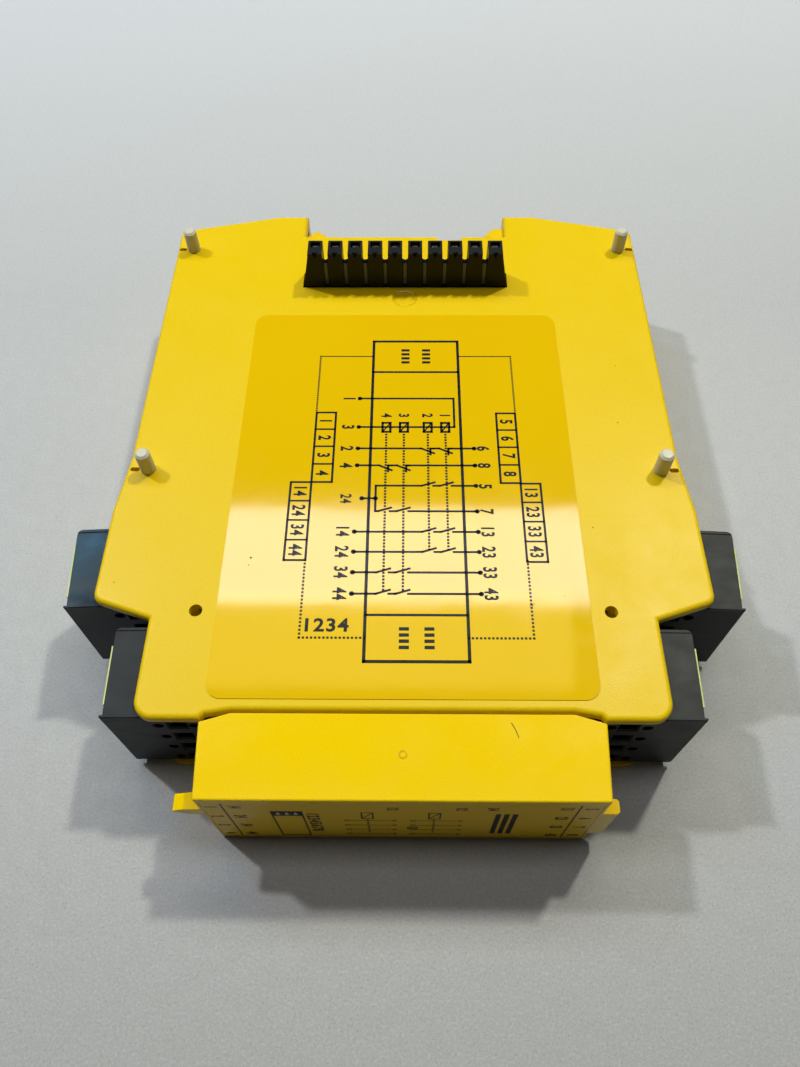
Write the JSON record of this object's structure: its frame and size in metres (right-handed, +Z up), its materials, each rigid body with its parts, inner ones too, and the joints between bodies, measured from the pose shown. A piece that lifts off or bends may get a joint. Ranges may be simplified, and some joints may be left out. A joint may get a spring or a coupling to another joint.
{
  "type": "safety relay",
  "caption": "Flat rail-mounted safety relay module lying on its side: yellow housing with stepped ends, black pull-off terminal plugs, a comb bus connector and link pins.",
  "frame": {"origin": "on the surface the module lies on, under the middle of its overall box", "axes": "+X towards the right-hand terminal plugs (the module's height on the rail), +Y from the front face towards the rail notch (its depth), +Z up through the module's width, out of the side with the comb connector"},
  "size_m": [0.1064, 0.1208, 0.0304],
  "materials": {
    "housing_yellow": "fine-grained moulded plastic, slightly worn",
    "label_film": "smooth printed film, yellow with dark print",
    "plug_black": "satin black moulded plastic with light scuffs",
    "marker_pale": "smooth pale yellow-green plastic strip",
    "contact_metal": "tin-plated spring metal",
    "connector_black": "satin black moulded plastic",
    "pin_beige": "plain moulded plastic, rubbed at the tip",
    "board_green": "glass-fibre board with solder resist",
    "relay_case": "smooth moulded case",
    "latch_plastic": "fine-grained moulded plastic",
    "spring_steel": "bright spring strip",
    "capacitor_sleeve": "shrunk plastic sleeve",
    "chip_black": "moulded resin"
  },
  "bodies": {
    "module": {"housing_base": "housing_yellow", "side_cover": "housing_yellow", "front_cap": "housing_yellow", "front_label": "label_film", "side_label": "label_film", "bus_contacts": "contact_metal", "header_pins_front_left": "contact_metal", "header_pins_front_right": "contact_metal", "header_pins_rear_left": "contact_metal", "header_pins_rear_right": "contact_metal", "bus_plug": "connector_black", "bus_socket": "connector_black", "header_front_left": "connector_black", "header_front_right": "connector_black", "header_rear_left": "connector_black", "header_rear_right": "connector_black", "link_pin_front_left": "pin_beige", "link_pin_front_right": "pin_beige", "link_pin_rear_left": "pin_beige", "link_pin_rear_right": "pin_beige", "main_board": "board_green", "relay_1": "relay_case", "relay_2": "relay_case", "relay_3": "relay_case", "relay_4": "relay_case", "latch_spring": "spring_steel", "capacitor_left": "capacitor_sleeve", "capacitor_right": "capacitor_sleeve", "control_chip": "chip_black"},
    "plug_rear_left": {"plug_rear_left": "plug_black", "clamps_rear_left": "contact_metal", "marker_rear_left": "marker_pale"},
    "plug_rear_right": {"plug_rear_right": "plug_black", "clamps_rear_right": "contact_metal", "marker_rear_right": "marker_pale"},
    "plug_front_left": {"plug_front_left": "plug_black", "clamps_front_left": "contact_metal", "marker_front_left": "marker_pale"},
    "plug_front_right": {"plug_front_right": "plug_black", "clamps_front_right": "contact_metal", "marker_front_right": "marker_pale"},
    "latch": {"rail_latch": "latch_plastic"}
  },
  "joints": [
    {"name": "plug_rear_left_pull", "type": "slide", "parent": "module", "child": "plug_rear_left", "axis": [-0.9986, -0.0523, 0], "range_m": [0, 0.022]},
    {"name": "plug_rear_right_pull", "type": "slide", "parent": "module", "child": "plug_rear_right", "axis": [0.9986, -0.0523, 0], "range_m": [0, 0.022]},
    {"name": "plug_front_left_pull", "type": "slide", "parent": "module", "child": "plug_front_left", "axis": [-1, -0.0087, 0], "range_m": [0, 0.022]},
    {"name": "plug_front_right_pull", "type": "slide", "parent": "module", "child": "plug_front_right", "axis": [1, -0.0087, 0], "range_m": [0, 0.022]},
    {"name": "latch_slide", "type": "slide", "parent": "module", "child": "latch", "axis": [-1, 0, 0], "range_m": [0, 0.003], "stiffness_N_per_m": 2000, "springref_m": -0.001, "deforming": ["latch_spring"]}
  ]
}
